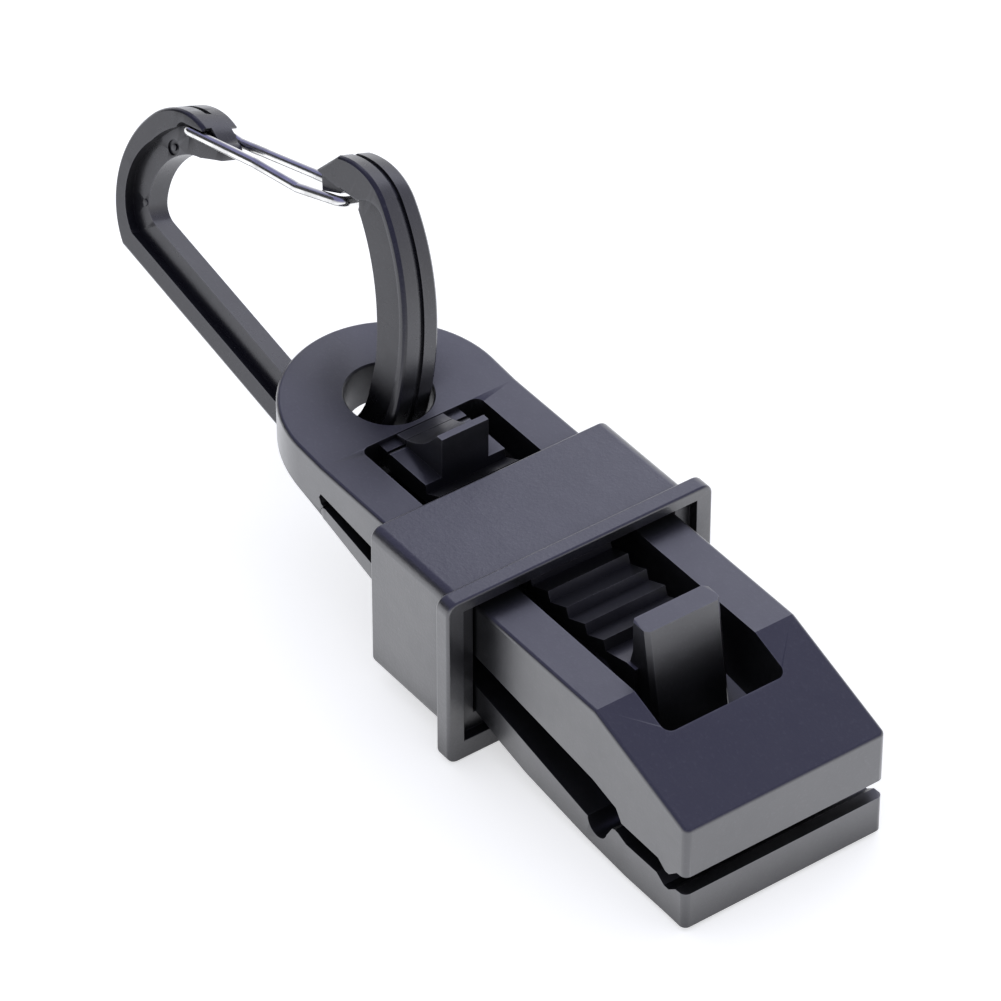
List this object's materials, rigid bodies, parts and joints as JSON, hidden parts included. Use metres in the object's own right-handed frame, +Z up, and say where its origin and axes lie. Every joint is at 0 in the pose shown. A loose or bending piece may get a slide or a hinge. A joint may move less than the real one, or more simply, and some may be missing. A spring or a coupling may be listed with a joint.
{
  "type": "tarpaulin clip with carabiner",
  "caption": "Tarpaulin clip: a sliding ratchet collar wedges two long jaws shut on sheet material, with a wire-gate carabiner through the eye at its rear end.",
  "frame": {"origin": "middle of the gripping lands at the jaw tips, half way between the two jaws", "axes": "+X along the clip from the eye to the jaw tips, +Y across the clip, +Z up out of the flat top face; the carabiner hangs to -X"},
  "size_m": [0.1172, 0.0352, 0.0409],
  "materials": {
    "clip_plastic": "black moulded nylon with a satin surface",
    "carabiner_plastic": "black moulded plastic with a satin surface",
    "gate_steel": "bright drawn stainless wire"
  },
  "bodies": {
    "clip_frame": {"eye_and_upper_jaw": "clip_plastic"},
    "lower_jaw": {"lower_jaw": "clip_plastic"},
    "release_tongue": {"release_tongue": "clip_plastic"},
    "collar": {"sliding_collar": "clip_plastic"},
    "carabiner": {"carabiner_body": "carabiner_plastic"},
    "gate": {"gate_wire": "gate_steel"}
  },
  "joints": [
    {"name": "collar_slide", "type": "slide", "parent": "clip_frame", "child": "collar", "axis": [1, 0, 0], "range_m": [-0.0042, 0.00315]},
    {"name": "jaw_hinge", "type": "hinge", "parent": "clip_frame", "child": "lower_jaw", "pos_m": [-0.0581, 0, 0.00683], "axis": [0, -1, 0], "range_deg": [-2.5, 1.88]},
    {"name": "tongue_press", "type": "hinge", "parent": "clip_frame", "child": "release_tongue", "pos_m": [-0.0566, 0, 0.01115], "axis": [0, 1, 0], "range_deg": [0, 2.4], "stiffness_Nm_per_rad": 8},
    {"name": "carabiner_swing", "type": "hinge", "parent": "clip_frame", "child": "carabiner", "pos_m": [-0.07229, -0.00056, 0.01149], "axis": [-0.0969, 0.9221, -0.3746], "range_deg": [-60, 14]},
    {"name": "gate_open", "type": "hinge", "parent": "carabiner", "child": "gate", "pos_m": [-0.10322, 0.00192, 0.02559], "axis": [-0.0969, 0.9221, -0.3746], "range_deg": [0, 30], "stiffness_Nm_per_rad": 0.05, "springref_deg": -8.59}
  ],
  "couplings": [
    {"joint": "jaw_hinge", "follows": "collar_slide", "rad_per_m": 10.34}
  ]
}
